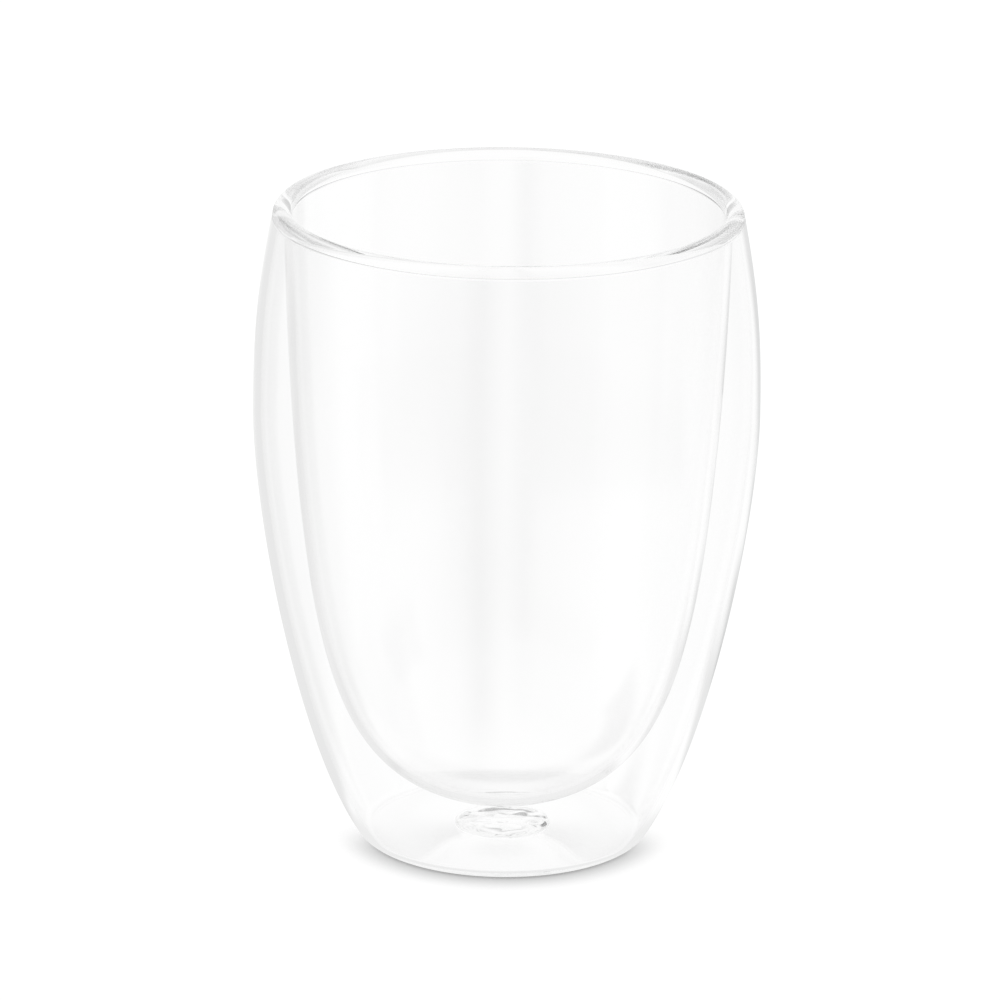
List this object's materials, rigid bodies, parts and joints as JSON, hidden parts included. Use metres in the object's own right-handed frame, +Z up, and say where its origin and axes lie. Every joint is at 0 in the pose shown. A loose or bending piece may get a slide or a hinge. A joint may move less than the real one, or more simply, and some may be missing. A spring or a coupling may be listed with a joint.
{
  "type": "double-walled glass cup",
  "caption": "Handleless clear glass tumbler with a rounded outer shell, a deep inner cup hung inside it and an air layer between, fused at a round rim.",
  "frame": {"origin": "centre of the base, on the plane that the cup stands on", "axes": "+Z up along the cup's axis; the cup is a body of revolution, so +X and +Y are any two sides"},
  "size_m": [0.0922, 0.0922, 0.12],
  "materials": {
    "shell_glass": "clear blown borosilicate, fire polished",
    "cup_glass": "clear blown borosilicate, fire polished",
    "rim_glass": "clear fused borosilicate, flame rounded",
    "seal_glass": "clear melted borosilicate, slightly rippled"
  },
  "bodies": {
    "root": {"outer_shell": "shell_glass", "inner_cup": "cup_glass", "rim_bead": "rim_glass", "vent_seal": "seal_glass"}
  },
  "joints": []
}
